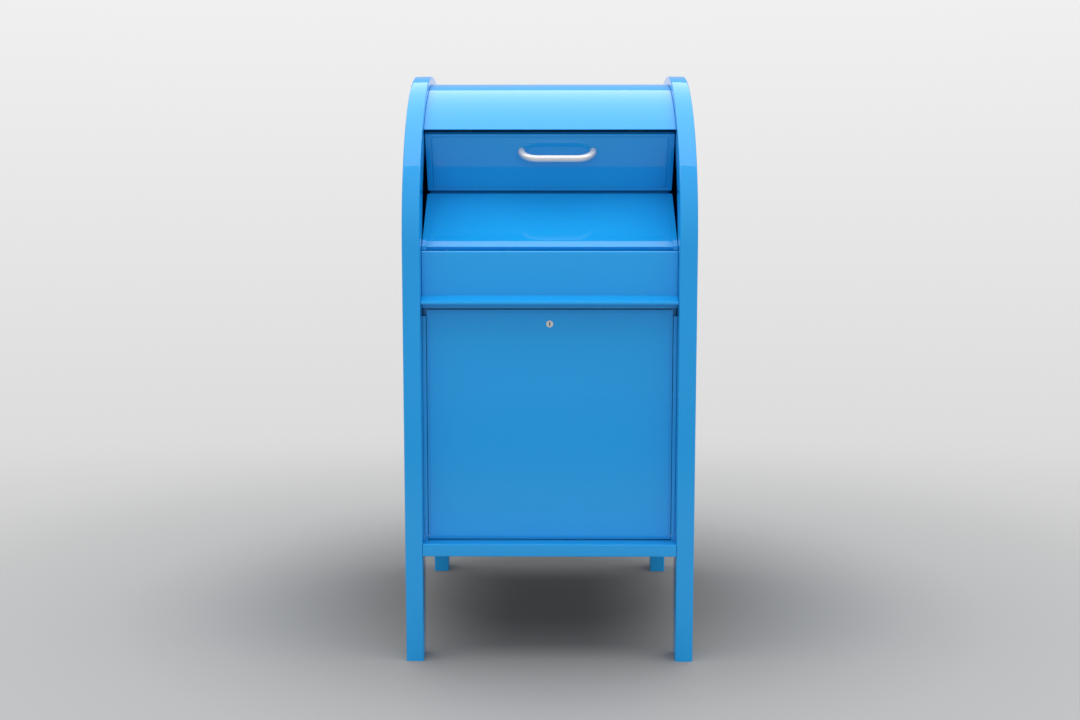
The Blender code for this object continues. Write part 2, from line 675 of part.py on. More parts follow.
def hopper_door(axis):
    """The tipping door with its hinge leaf, tray, cheeks, counterweight, handle and nuts."""
    face = -door_plane()
    corner = (CORNER - HINGE).dot(DOOR_ALONG)
    low = KNUCKLE_RADIUS + TOUCH
    high = corner + HOPPER_LENGTH
    bm = bmesh.new()
    size = Vector((2 * HOPPER_HALF, HOPPER_DEPTH + HOPPER_RAISE, high - low))
    middle = Vector((0, face + (HOPPER_DEPTH - HOPPER_RAISE) / 2, (low + high) / 2))
    bmesh.ops.create_cube(bm, size=1.0)
    bmesh.ops.scale(bm, verts=bm.verts, vec=size)
    bmesh.ops.translate(bm, verts=bm.verts, vec=middle)
    hollow(bm, Vector((0, 1, 0)), SHEET, HOPPER_DEPTH - SHEET)
    panel = add_object("hopper_door_panel", bm, "paint_blue", axis)
    border_foot = corner + BORDER_START
    inner = HOPPER_HALF - HOPPER_SIDE_BORDER
    beyond = HOPPER_HALF + TUBE_WIDTH
    outline = [
        (-beyond, low - HOPPER_DEPTH),
        (beyond, low - HOPPER_DEPTH),
        (beyond, border_foot),
        (inner, border_foot),
        (inner, high - HOPPER_TOP_BORDER),
        (-inner, high - HOPPER_TOP_BORDER),
        (-inner, border_foot),
        (-beyond, border_foot),
    ]
    recess = prism(
        "hopper_recess",
        outline,
        face - HOPPER_DEPTH,
        face,
        "paint_blue",
        axis="Y",
        parent=axis,
    )
    boolean(panel, recess)
    for side, sign in SIDES:
        centre = (HANDLE_ASIDE + HANDLE_HALF_WIDTH * sign, corner + HANDLE_UP)
        bore = HANDLE_RADIUS + SHAFT_PLAY
        ends = (face - HOPPER_DEPTH, face + HOPPER_DEPTH / 2)
        boolean(panel, cutter(f"handle_hole_{side}", bore, *ends, "Y", centre, axis))
    hinge_leaf("hopper_hinge_moving", True, Vector((1, 0)), Vector((0, 1)), axis)
    tray_start = Vector((face + HOPPER_DEPTH + TOUCH, KNUCKLE_RADIUS + TOUCH))
    turn = tray_start + Vector((TRAY_STEP, 0))
    fall = TRAY_ANGLE + HOPPER_LEAN
    along = Vector((sin(fall), cos(fall)))
    end = turn + along * TRAY_LENGTH
    tray = sheet_outline([tray_start, turn, end], SHEET)
    prism("hopper_tray", tray, -TRAY_HALF, TRAY_HALF, "zinc_steel", parent=axis)
    below = Vector((-along.y, along.x)) * -TOUCH
    thick = Vector((-along.y, along.x)) * -WEIGHT_THICKNESS
    bar = [end + below, end - along * WEIGHT_DEPTH + below]
    bar += [bar[1] + thick, bar[0] + thick]
    half = TRAY_HALF - WEIGHT_SHORTER
    prism("hopper_counterweight", bar, -half, half, "zinc_steel", parent=axis)
    cheeks(axis, face, tray_start, turn, along)
    handle(axis, face, corner + HANDLE_UP)


def cheeks(axis, face, tray_start, turn, along):
    """Side plates that fill the angle between the door and its tray."""
    lift = Vector((-along.y, along.x)) * (SHEET + TOUCH)
    bend = turn + Vector((0, SHEET + TOUCH))
    start = Vector((face + SHEET + TOUCH, tray_start.y + SHEET + TOUCH))
    top = Vector((start.x, sqrt(CHEEK_RADIUS**2 - start.x**2)))
    slope = bend + lift - Vector((0, SHEET + TOUCH))
    reach = slope.dot(along)
    run = sqrt(CHEEK_RADIUS**2 - slope.length_squared + reach * reach) - reach
    end = slope + along * run
    first = atan2(end.y, end.x)
    last = atan2(top.y, top.x)
    outline = [start, bend] + arc(Vector((0, 0)), CHEEK_RADIUS, first, last, CHEEK_STEPS)
    for side, sign in SIDES:
        low, high = mirrored(sign, CHEEK_OUTER - CHEEK, CHEEK_OUTER)
        prism(f"hopper_cheek_{side}", outline, low, high, "zinc_steel", parent=axis)


def handle(axis, face, height):
    """A rod bent into a shallow D, with each end through the door's sheet and held by a nut."""
    straight = HANDLE_STRAIGHT
    half = HANDLE_HALF_WIDTH
    centre = Vector((half - HANDLE_BEND, -straight))
    bend = arc(centre, HANDLE_BEND, 0, -pi / 2, 6)
    right = [Vector((half, HANDLE_INSIDE))] + bend
    points = right + [Vector((-p.x, p.y)) for p in reversed(right)]
    curve = bpy.data.curves.new("hopper_handle", "CURVE")
    curve.dimensions = "3D"
    curve.bevel_depth = HANDLE_RADIUS
    curve.bevel_resolution = 3
    curve.use_fill_caps = True
    spline = curve.splines.new("POLY")
    spline.points.add(len(points) - 1)
    for point, place in zip(spline.points, points):
        point.co = (HANDLE_ASIDE + place.x, face + place.y, height, 1.0)
    curve.materials.append(material("stainless", "hopper_handle"))
    rod = bpy.data.objects.new("hopper_handle", curve)
    rod.parent = axis
    bpy.context.scene.collection.objects.link(rod)
    for side, sign in SIDES:
        bm = bmesh.new()
        start = face + SHEET + TOUCH
        centre = (HANDLE_ASIDE + half * sign, height)
        round_bar(bm, NUT_RADIUS, start, start + NUT_HEIGHT, "Y", centre, 6)
        nut = add_object(f"handle_nut_{side}", bm, "zinc_steel", axis)
        bore = HANDLE_RADIUS + SHAFT_PLAY
        tool = cutter(f"nut_bore_{side}", bore, start - SHEET, start + 2 * NUT_HEIGHT, "Y", centre, axis)
        boolean(nut, tool)


def access_door(axis):
    """The drop-down door: a pan with a raised face, three stiffeners, its hinge pins and its lock."""
    face = DOOR_FACE - DOOR_AXIS.x
    low = DOOR_BOTTOM - DOOR_AXIS.y
    high = DOOR_TOP - DOOR_AXIS.y
    bm = bmesh.new()
    size = Vector((2 * DOOR_HALF, DOOR_DEPTH - DOOR_RAISE, high - low))
    middle = Vector((0, face + (DOOR_DEPTH + DOOR_RAISE) / 2, (low + high) / 2))
    bmesh.ops.create_cube(bm, size=1.0)
    bmesh.ops.scale(bm, verts=bm.verts, vec=size)
    bmesh.ops.translate(bm, verts=bm.verts, vec=middle)
    hollow(bm, Vector((0, 1, 0)), SKIN, DOOR_DEPTH - DOOR_RAISE - SKIN)
    bm.normal_update()
    front = max(bm.faces, key=lambda f: f.normal.dot(Vector((0, -1, 0))) * f.calc_area())
    bmesh.ops.inset_individual(bm, faces=[front], thickness=DOOR_BORDER)
    raised = bmesh.ops.extrude_discrete_faces(bm, faces=[front])["faces"][0]
    bmesh.ops.translate(bm, verts=raised.verts, vec=(0, -DOOR_RAISE, 0))
    panel = add_object("access_door_panel", bm, "paint_blue", axis)
    inside = face + DOOR_RAISE + SKIN
    lock = (0, LOCK_HEIGHT - DOOR_AXIS.y)
    bore = LOCK_BODY_RADIUS + SHAFT_PLAY
    boolean(panel, cutter("lock_hole", bore, face - SKIN, inside + SKIN, "Y", lock, axis))
    for side, sign in SIDES:
        start, end = mirrored(sign, DOOR_HALF - 2 * SKIN, DOOR_HALF + SKIN)
        hole = DOOR_PIN_RADIUS + SHAFT_PLAY
        boolean(panel, cutter(f"door_pin_hole_{side}", hole, start, end, "X", (0, 0), axis, sides=12))
        root = DOOR_HALF - SKIN
        profile = [
            (0, root),
            (DOOR_PIN_RADIUS, root),
            (DOOR_PIN_RADIUS, HALF_SPAN - DOOR_PIN_CHAMFER),
            (DOOR_PIN_RADIUS - DOOR_PIN_CHAMFER, HALF_SPAN),
            (0, HALF_SPAN),
        ]
        profile = [(radius, place * sign) for radius, place in profile]
        turned_solid(f"door_pin_{side}", profile, "zinc_steel", "X", axis, sides=12)
    stiffeners(axis, inside, low, high)
    lock_body(axis, face, inside)


def stiffeners(axis, inside, low, high):
    """Hat sections up the inside of the door. The middle one stops short of the lock."""
    start = inside + TOUCH
    end = start + STIFFENER_DEPTH
    half = STIFFENER_WIDTH / 2
    foot = half + STIFFENER_FOOT
    path = [
        Vector((-foot, start)),
        Vector((-half, start)),
        Vector((-half, end - STIFFENER_SHEET)),
        Vector((half, end - STIFFENER_SHEET)),
        Vector((half, start)),
        Vector((foot, start)),
    ]
    hat = sheet_outline(path, STIFFENER_SHEET)
    places = {"left": -STIFFENER_PLACE, "centre": 0, "right": STIFFENER_PLACE}
    for name, across in places.items():
        top = high - STIFFENER_END_GAP
        if not across:
            top = LOCK_HEIGHT - DOOR_AXIS.y - CENTRE_STIFFENER_DROP
        outline = [(p.x + across, p.y) for p in hat]
        prism(
            f"door_stiffener_{name}",
            outline,
            low + STIFFENER_END_GAP,
            top,
            "zinc_steel",
            axis="Z",
            parent=axis,
        )


def lock_body(axis, face, inside):
    """The lock's fixed barrel, with its flange on the door's face, and the nut that clamps it."""
    height = LOCK_HEIGHT - DOOR_AXIS.y
    holder = add_axis("lock_place", (0, 0, height), parent=axis)
    bore = LOCK_CORE_RADIUS + SHAFT_PLAY
    start = face - LOCK_PROUD
    seat = face - TOUCH
    end = CAM_FRONT - DOOR_AXIS.x - CAM_GAP
    profile = [
        (bore, start),
        (LOCK_FACE_RADIUS, start),
        (LOCK_FACE_RADIUS, seat),
        (LOCK_BODY_RADIUS, seat),
        (LOCK_BODY_RADIUS, end),
        (bore, end),
    ]
    turned_solid("lock_barrel", profile, "lock_chrome", "Y", holder)
    bm = bmesh.new()
    begin = inside + TOUCH
    round_bar(bm, LOCK_BODY_RADIUS + LOCK_NUT_WALL, begin, begin + LOCK_NUT_HEIGHT, "Y", (0, 0), 6)
    nut = add_object("lock_nut", bm, "zinc_steel", holder)
    hole = LOCK_BODY_RADIUS + SHAFT_PLAY
    ends = (begin - LOCK_NUT_HEIGHT, begin + 2 * LOCK_NUT_HEIGHT)
    boolean(nut, cutter("lock_nut_bore", hole, *ends, "Y", (0, 0), holder))


def lock_core(axis):
    """The turning core with its keyhole, and the cam that its screw holds on the inner end."""
    face = DOOR_FACE - DOOR_AXIS.x - LOCK_PROUD
    end = CAM_FRONT - DOOR_AXIS.x - TOUCH
    profile = [(0, face), (LOCK_CORE_RADIUS, face), (LOCK_CORE_RADIUS, end), (0, end)]
    core = turned_solid("lock_core", profile, "lock_chrome", "Y", axis)
    bm = bmesh.new()
    half = KEYHOLE_SLOT / 2
    outline = arc(Vector((0, 0)), KEYHOLE_RADIUS, radians(-60), radians(240), 10)
    outline += [Vector((-half, -KEYHOLE_LENGTH)), Vector((half, -KEYHOLE_LENGTH))]
    corners = [bm.verts.new((p.x, face - SKIN, p.y)) for p in outline]
    pull(bm, [bm.faces.new(corners)], (0, SKIN + KEYHOLE_DEPTH, 0))
    boolean(core, add_object("keyhole", bm, "lock_chrome", axis))
    front = CAM_FRONT - DOOR_AXIS.x
    back = front + CAM_THICKNESS
    half = CAM_WIDTH / 2
    outline = arc(Vector((0, 0)), half, pi / 2, 3 * pi / 2, 8)
    outline += [Vector((CAM_REACH, -half)), Vector((CAM_REACH, half))]
    prism("lock_cam", outline, front, back, "zinc_steel", axis="Y", parent=axis)
    start = back + TOUCH
    profile = [
        (0, start),
        (CAM_SCREW_RADIUS, start),
        (CAM_SCREW_RADIUS, start + CAM_SCREW_HEIGHT / 2),
        (CAM_SCREW_RADIUS / 2, start + CAM_SCREW_HEIGHT),
        (0, start + CAM_SCREW_HEIGHT),
    ]
    turned_solid("cam_screw", profile, "zinc_steel", "Y", axis, sides=16)


def door_frame_parts():
    """The strike that the cam turns behind, and the seals that the closed door lies against."""
    strike_low = DOOR_TOP - HEADER_STOP_DROP + TOUCH
    box(
        "strike_plate",
        (-STRIKE_WIDTH / 2, STOP_FACE + SHEET + TOUCH, strike_low),
        (STRIKE_WIDTH / 2, STOP_FACE + 2 * SHEET, strike_low + STRIKE_HEIGHT),
        "zinc_steel",
    )
    front, back = DOOR_BACK + TOUCH, STOP_FACE - TOUCH
    for side, sign in SIDES:
        low, high = mirrored(sign, DOOR_HALF - SEAL_WIDTH, DOOR_HALF)
        box(
            f"door_seal_{side}",
            (low, front, DOOR_BOTTOM + SEAL_RISE),
            (high, back, DOOR_TOP - HEADER_STOP_DROP - 2 * TOUCH),
            "black_rubber",
        )
    box(
        "door_seal_top",
        (-DOOR_HALF, front, DOOR_TOP - HEADER_STOP_DROP + TOUCH),
        (DOOR_HALF, back, DOOR_TOP - TOUCH),
        "black_rubber",
    )


def foot_plugs():
    """A moulded plug in each leg's open end, which the leg stands on."""
    rows = (("front", FRONT), ("rear", REAR - TUBE_DEPTH))
    inset = TUBE_WALL + SHAFT_PLAY
    for row, start in rows:
        for side, sign in SIDES:
            low, high = mirrored(sign, TUBE_INNER + inset, WIDTH / 2 - inset)
            plug = box(
                f"foot_plug_{row}_{side}",
                (low, start + inset, 0),
                (high, start + TUBE_DEPTH - inset, PLUG_HEIGHT),
                "black_plastic",
            )
            soften = plug.modifiers.new("corner", "BEVEL")
            soften.width = PLUG_CORNER
            soften.segments = 1
            soften.limit_method = "ANGLE"


def main():
    clear_scene()
    arch_frames()
    rails()
    walls()
    front_panels()
    ledge()
    door_frame_parts()
    foot_plugs()
    hopper_fixed_parts()
    hopper_axis = add_axis("hopper_axis", (0, HINGE.x, HINGE.y), HOPPER_LEAN)
    hopper_door(hopper_axis)
    door_axis = add_axis("door_axis", (0, DOOR_AXIS.x, DOOR_AXIS.y))
    access_door(door_axis)
    lock_axis = add_axis("lock_axis", (0, 0, LOCK_HEIGHT - DOOR_AXIS.y), parent=door_axis)
    lock_core(lock_axis)


if __name__ == "__main__":
    main()
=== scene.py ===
"""The looks of a dome-topped street mailbox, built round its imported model.

Every visible piece is modelled again with smooth bends and softened edges, in the place of its
plain solid, and is painted, plated or moulded with a procedural finish. The mailbox faces -Y and
stands on Z = 0. Sizes are in metres.
"""

import logging
from collections.abc import Callable, Iterator
from contextlib import contextmanager
from dataclasses import dataclass
from enum import Enum
from math import atan2, cos, pi, radians, sin

import bmesh
import bpy
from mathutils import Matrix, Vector


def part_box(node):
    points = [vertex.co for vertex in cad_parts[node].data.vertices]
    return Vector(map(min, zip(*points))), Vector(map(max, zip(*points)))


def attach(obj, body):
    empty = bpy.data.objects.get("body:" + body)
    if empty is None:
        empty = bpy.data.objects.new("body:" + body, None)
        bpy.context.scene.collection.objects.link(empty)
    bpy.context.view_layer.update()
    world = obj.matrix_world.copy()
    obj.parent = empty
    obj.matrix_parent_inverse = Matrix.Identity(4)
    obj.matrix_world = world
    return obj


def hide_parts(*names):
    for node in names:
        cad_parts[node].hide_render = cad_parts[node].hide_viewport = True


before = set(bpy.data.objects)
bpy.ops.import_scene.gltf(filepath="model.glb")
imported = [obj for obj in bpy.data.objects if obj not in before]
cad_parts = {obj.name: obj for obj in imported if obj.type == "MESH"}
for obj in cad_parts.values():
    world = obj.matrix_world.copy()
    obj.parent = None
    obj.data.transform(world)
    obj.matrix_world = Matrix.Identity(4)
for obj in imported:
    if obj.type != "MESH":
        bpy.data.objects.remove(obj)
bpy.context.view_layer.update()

LOG = logging.getLogger("mailbox")

Triple = tuple[float, float, float]

DOUBLES = 2e-6  # points closer than this are one point
MATCH = 1e-4  # how close an edge has to be to the place that it is picked by
FACING = 0.9  # the least part of a normal that faces along an axis


class Part(Enum):
    """The kinds of mesh element that can be picked in edit mode."""

    EDGE = "EDGE"
    FACE = "FACE"


class Body(Enum):
    """The mailbox's rigid bodies."""

    SHELL = "body"
    HOPPER = "hopper_door"
    DOOR = "access_door"
    CORE = "lock_core"


# --------------------------------------------------------------------------- the bench


class Workpiece:
    """A mesh piece on the bench: a primitive that operators shape in edit mode."""

    def __init__(self, item: bpy.types.Object) -> None:
        """Wraps an object that already stands at the origin.

        Args:
            item: The mesh object, unturned and unscaled.
        """
        self.item = item

    @staticmethod
    def clear_selection() -> None:
        """Deselects everything, because an operator acts on all that is selected."""
        for item in bpy.context.selected_objects:
            item.select_set(False)

    @classmethod
    def adopt(cls, name: str) -> "Workpiece":
        """Names the primitive that was just added and puts its place into its mesh.

        Args:
            name: The piece's name.

        Returns:
            The piece, with its object at the origin.
        """
        item = bpy.context.object
        item.name = name
        item.data.name = name
        bpy.ops.object.transform_apply(location=True, rotation=True, scale=True)
        return cls(item)

    @classmethod
    def strip(cls, name: str, start: Vector, end: Vector, half: float) -> "Workpiece":
        """A flat strip between two (y, z) points, as wide as the sheet it begins.

        Args:
            name: The piece's name.
            start: The (y, z) point that the strip starts from.
            end: The (y, z) point that it ends at.
            half: Half its width along X.

        Returns:
            The strip, whose normal is on its left as it runs from start to end.
        """
        cls.clear_selection()
        run = end - start
        middle = (start + end) / 2
        bpy.ops.mesh.primitive_plane_add(
            size=1.0,
            location=(0, middle.x, middle.y),
            rotation=(atan2(run.y, run.x), 0, 0),
        )
        bpy.context.object.scale = (2 * half, run.length, 1)
        return cls.adopt(name)

    @classmethod
    def section(cls, name: str, low: Vector, high: Vector) -> "Workpiece":
        """A rectangle across a tube. One of its three extents is nothing.

        Args:
            name: The piece's name.
            low: The rectangle's lowest corner.
            high: Its highest corner.

        Returns:
            The flat rectangle.
        """
        cls.clear_selection()
        size = high - low
        if size.x == 0:
            turned, spread = (0, pi / 2, 0), (size.z, size.y, 1)
        elif size.y == 0:
            turned, spread = (pi / 2, 0, 0), (size.x, size.z, 1)
        else:
            turned, spread = (0, 0, 0), (size.x, size.y, 1)
        bpy.ops.mesh.primitive_plane_add(size=1.0, location=(low + high) / 2, rotation=turned)
        bpy.context.object.scale = spread
        return cls.adopt(name)

    @classmethod
    def ring(
        cls, name: str, centre: Vector, radius: float, turned: Triple, sides: int = 64
    ) -> "Workpiece":
        """An open circle that a rod or a turned piece starts from.

        Args:
            name: The piece's name.
            centre: Its centre.
            radius: Its radius.
            turned: The Euler angles that turn it from lying flat.
            sides: How many edges it has.

        Returns:
            The circle, with no face.
        """
        cls.clear_selection()
        bpy.ops.mesh.primitive_circle_add(
            vertices=sides, radius=radius, fill_type="NOTHING", location=centre, rotation=turned
        )
        return cls.adopt(name)

    @classmethod
    def copy_of(cls, node: str, name: str, flat: float = 0.4) -> "Workpiece":
        """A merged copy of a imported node, with its flat faces made whole again.

        Args:
            node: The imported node.
            name: The copy's name.
            flat: The turn in degrees below which two faces are one.

        Returns:
            The copy, ready for softening.
        """
        item = bpy.data.objects.new(name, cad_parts[node].data.copy())
        item.data.name = name
        item.data.materials.clear()
        bpy.context.scene.collection.objects.link(item)
        piece = cls(item)
        with piece.editing():
            bpy.ops.mesh.select_all(action="SELECT")
            bpy.ops.mesh.remove_doubles(threshold=DOUBLES)
            bpy.ops.mesh.dissolve_limited(angle_limit=radians(flat))
        bpy.ops.mesh.customdata_custom_splitnormals_clear()
        return piece

    def activate(self) -> None:
        """Makes this the one selected object."""
        self.clear_selection()
        self.item.select_set(True)
        bpy.context.view_layer.objects.active = self.item

    @contextmanager
    def editing(self) -> Iterator[None]:
        """Holds the piece in edit mode."""
        self.activate()
        bpy.ops.object.mode_set(mode="EDIT")
        yield
        bpy.ops.object.mode_set(mode="OBJECT")

    def pick(self, part: Part, test: Callable[[Vector, Vector], bool]) -> None:
        """Selects elements in edit mode by their place and direction.

        Args:
            part: The kind of element.
            test: Says yes or no from an element's middle and its normal, or an edge's direction.
        """
        bpy.ops.mesh.select_mode(type=part.value)
        bpy.ops.mesh.select_all(action="DESELECT")
        shape = bmesh.from_edit_mesh(self.item.data)
        shape.normal_update()
        if part is Part.EDGE:
            for edge in shape.edges:
                first, last = (point.co for point in edge.verts)
                edge.select_set(test((first + last) / 2, last - first))
        else:
            for face in shape.faces:
                face.select_set(test(face.calc_center_median(), face.normal))
        shape.select_flush_mode()
        bmesh.update_edit_mesh(self.item.data)

    @staticmethod
    def extrude(move: Triple | Vector) -> None:
        """Extrudes what is selected by an offset."""
        bpy.ops.mesh.extrude_region_move(TRANSFORM_OT_translate={"value": tuple(move)})

    @staticmethod
    def open_loop() -> None:
        """Drops the selected faces and keeps their edges, selected."""
        bpy.ops.mesh.delete(type="ONLY_FACE")
        bpy.ops.mesh.select_mode(type="EDGE")
        bpy.ops.mesh.select_all(action="SELECT")

    @staticmethod
    def swing(centre: Triple | Vector, axis: Triple | Vector, angle: float, steps: int) -> None:
        """Turns what is selected right-handed about an axis, leaving a surface behind it."""
        bpy.ops.mesh.spin(steps=steps, angle=-angle, center=tuple(centre), axis=tuple(axis))

    @staticmethod
    def round_corners(radius: float, segments: int) -> None:
        """Rounds the corners of the selected flat outline."""
        bpy.ops.mesh.bevel(offset=radius, segments=segments, affect="VERTICES", clamp_overlap=True)

    @staticmethod
    def tidy(close_ends: bool = False) -> None:
        """Merges doubles, and turns every face outward.

        Args:
            close_ends: Whether open ends get a face first.
        """
        bpy.ops.mesh.select_all(action="SELECT")
        bpy.ops.mesh.remove_doubles(threshold=DOUBLES)
        if close_ends:
            bpy.ops.mesh.fill_holes(sides=0)
            bpy.ops.mesh.select_all(action="SELECT")
        bpy.ops.mesh.normals_make_consistent(inside=False)

    def modify(self, kind: str, **settings: object) -> "Workpiece":
        """Adds a modifier and applies it.

        Args:
            kind: The modifier's type.
            **settings: Its settings by name.

        Returns:
            The piece itself.
        """
        self.activate()
        change = self.item.modifiers.new(kind.lower(), kind)
        for setting, value in settings.items():
            setattr(change, setting, value)
        bpy.ops.object.modifier_apply(modifier=change.name)
        return self

    def thicken(self, thickness: float, offset: float) -> "Workpiece":
        """Gives a surface its wall.

        Args:
            thickness: How thick the wall is.
            offset: The side that it goes to: 1 along the normals and -1 against them.

        Returns:
            The piece itself.
        """
        self.modify("SOLIDIFY", thickness=thickness, offset=offset, use_even_offset=True)
        with self.editing():
            self.tidy()
        return self

    def soften(self, width: float, segments: int = 3, angle: float = 30.0) -> "Workpiece":
        """Rounds every edge that turns by more than an angle, and keeps the flats flat.

        Args:
            width: How far the rounding reaches from the edge.
            segments: How many strips the rounding has.
            angle: The least turn in degrees that counts as an edge.

        Returns:
            The piece itself.
        """
        self.activate()
        bpy.ops.object.shade_smooth()
        return self.modify(
            "BEVEL",
            width=width,
            segments=segments,
            limit_method="ANGLE",
            angle_limit=radians(angle),
            miter_outer="MITER_ARC",
            harden_normals=True,
            use_clamp_overlap=True,
        )

    def smooth(self, angle: float = 30.0) -> "Workpiece":
        """Shades the piece smooth, except at its edges.

        Args:
            angle: The least turn in degrees that counts as an edge.

        Returns:
            The piece itself.
        """
        self.activate()
        bpy.ops.object.shade_smooth_by_angle(angle=radians(angle))
        return self

    def settle(self, finish: "Finish", body: Body, *nodes: str) -> bpy.types.Object:
        """Dresses the finished piece and puts it in the place of its nodes.

        Args:
            finish: The finish that it wears.
            body: The body that it moves with.
            *nodes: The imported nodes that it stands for.

        Returns:
            The finished object.
        """
        self.item.data.materials.clear()
        self.item.data.materials.append(finish.material())
        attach(self.item, body.value)
        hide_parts(*nodes)
        LOG.info("%s: %d faces in %s", self.item.name, len(self.item.data.polygons), finish.slot)
        return self.item


# --------------------------------------------------------------------------- shader maths


class Socket:
    """A number output of a shader node that can be used in Python sums."""

    def __init__(self, tree: bpy.types.NodeTree, output: bpy.types.NodeSocket) -> None:
        """Wraps an output.

        Args:
            tree: The node tree that the output is in.
            output: The output socket.
        """
        self.tree = tree
        self.output = output

    def _math(self, operation: str, first: object, second: object) -> "Socket":
        """Adds one Math node.

        Args:
            operation: What it does.
            first: Its first value or socket.
            second: Its second value or socket.

        Returns:
            The result.
        """
        made = self.tree.nodes.new("ShaderNodeMath")
        made.operation = operation
        for place, value in zip(made.inputs, (first, second)):
            if isinstance(value, Socket):
                self.tree.links.new(value.output, place)
            else:
                place.default_value = value
        return Socket(self.tree, made.outputs[0])

    def __add__(self, other: object) -> "Socket":
        """This plus another."""
        return self._math("ADD", self, other)

    def __sub__(self, other: object) -> "Socket":
        """This less another."""
        return self._math("SUBTRACT", self, other)

    def __rsub__(self, other: object) -> "Socket":
        """Another less this."""
        return self._math("SUBTRACT", other, self)

    def __mul__(self, other: object) -> "Socket":
        """This times another."""
        return self._math("MULTIPLY", self, other)

    def power(self, exponent: float) -> "Socket":
        """This to a power."""
        return self._math("POWER", self, exponent)

    def limited(self) -> "Socket":
        """This, kept between 0 and 1.

        Returns:
            The result.
        """
        held = self._math("ADD", self, 0.0)
        held.output.node.use_clamp = True
        return held

    __radd__ = __add__
    __rmul__ = __mul__


class Shader:
    """A node tree under construction."""

    def __init__(self, tree: bpy.types.NodeTree) -> None:
        """Starts from an empty tree.

        Args:
            tree: The tree to build in.
        """
        tree.nodes.clear()
        self.tree = tree

    def node(self, kind: str, settings: dict | None = None, **values: object) -> bpy.types.Node:
        """Adds a node, sets its settings, and then its sockets' values or links.

        Args:
            kind: The node's type.
            settings: Its properties by name, and a ramp's stops under "stops".
            **values: Its sockets by name, with _ for a space.

        Returns:
            The node.
        """
        made = self.tree.nodes.new(kind)
        for setting, value in (settings or {}).items():
            if setting == "stops":
                self._stops(made.color_ramp, value)
            else:
                setattr(made, setting, value)
        for name, value in values.items():
            place = made.inputs[name.replace("_", " ")]
            if isinstance(value, Socket):
                self.tree.links.new(value.output, place)
            elif isinstance(value, bpy.types.NodeSocket):
                self.tree.links.new(value, place)
            else:
                place.default_value = value
        return made

    @staticmethod
    def _stops(ramp: bpy.types.ColorRamp, stops: list[tuple[float, tuple]]) -> None:
        """Sets a ramp's stops.

        Args:
            ramp: The ramp.
            stops: The place and the colour of each stop.
        """
        while len(ramp.elements) < len(stops):
            ramp.elements.new(1.0)
        for element, (place, colour) in zip(ramp.elements, stops):
            element.position = place
            element.color = colour

    def number(self, output: bpy.types.NodeSocket) -> Socket:
        """An output as a socket for sums."""
        return Socket(self.tree, output)

    def noise(self, where: bpy.types.NodeSocket, scale: float, detail: float = 2.0) -> Socket:
        """Fractal noise on a coordinate, from 0 to 1."""
        made = self.node("ShaderNodeTexNoise", None, Vector=where, Scale=scale, Detail=detail)
        return self.number(made.outputs["Fac"])

    def bump(self, height: Socket, distance: float, strength: float) -> bpy.types.NodeSocket:
        """A normal that follows a fine relief.

        Args:
            height: The relief, from 0 to 1.
            distance: How high it is, in metres.
            strength: How much of it shows.

        Returns:
            The normal.
        """
        made = self.node("ShaderNodeBump", None, Distance=distance, Strength=strength)
        self.tree.links.new(height.output, made.inputs["Height"])
        return made.outputs["Normal"]

    def ramp(
        self,
        value: Socket,
        start: float,
        end: float,
        low: float = 0.0,
        high: float = 1.0,
        eased: bool = True,
    ) -> Socket:
        """A number that goes from one level to another while a value crosses a stretch.

        Args:
            value: The value that it follows.
            start: Where the stretch begins.
            end: Where it ends.
            low: The level before it.
            high: The level after it.
            eased: Whether it starts and ends gently.

        Returns:
            The number.
        """
        made = self.node(
            "ShaderNodeMapRange",
            {"interpolation_type": "SMOOTHSTEP" if eased else "LINEAR"},
            Value=value,
            From_Min=start,
            From_Max=end,
            To_Min=low,
            To_Max=high,
        )
        return self.number(made.outputs["Result"])

    def blend(self, factor: Socket, first: Triple, second: Triple) -> bpy.types.NodeSocket:
        """A colour between two others.

        Args:
            factor: How far it is from the first to the second, from 0 to 1.
            first: The first colour.
            second: The second colour.

        Returns:
            The colour.
        """
        made = self.node("ShaderNodeMix", {"data_type": "RGBA"})
        self.tree.links.new(factor.output, made.inputs[0])
        made.inputs[6].default_value = (*first, 1.0)
        made.inputs[7].default_value = (*second, 1.0)
        return made.outputs[2]

    def output(self, surface: bpy.types.NodeSocket) -> None:
        """Ends the tree at a surface."""
        end = self.tree.nodes.new("ShaderNodeOutputMaterial")
        self.tree.links.new(surface, end.inputs["Surface"])


# --------------------------------------------------------------------------- finishes


@dataclass(frozen=True)
class Finish:
    """A finish, and the record's slot that it belongs to."""

    slot: str
    colour: Triple
    shade: str = "finish"

    def material(self) -> bpy.types.Material:
        """The finish's material, made when it is first asked for.

        Returns:
            The material.
        """
        name = f"{self.slot}_{self.shade}"
        made = bpy.data.materials.get(name)
        if made is None:
            made = bpy.data.materials.new(name)
            made.use_nodes = True
            shader = Shader(made.node_tree)
            shader.output(self.surface(shader))
            made.diffuse_color = (*self.colour, 1.0)
        return made

    def surface(self, shader: Shader) -> bpy.types.NodeSocket:
        """The finish's nodes. Each kind of finish has its own."""
        raise NotImplementedError

    @staticmethod
    def place(shader: Shader) -> bpy.types.NodeSocket:
        """The mailbox's own coordinates, in metres."""
        return shader.node("ShaderNodeTexCoord").outputs["Object"]

    def tinted(self, change: float) -> Triple:
        """The finish's colour, made lighter or darker by a share."""
        return tuple(min(1.0, channel * (1 + change)) for channel in self.colour)


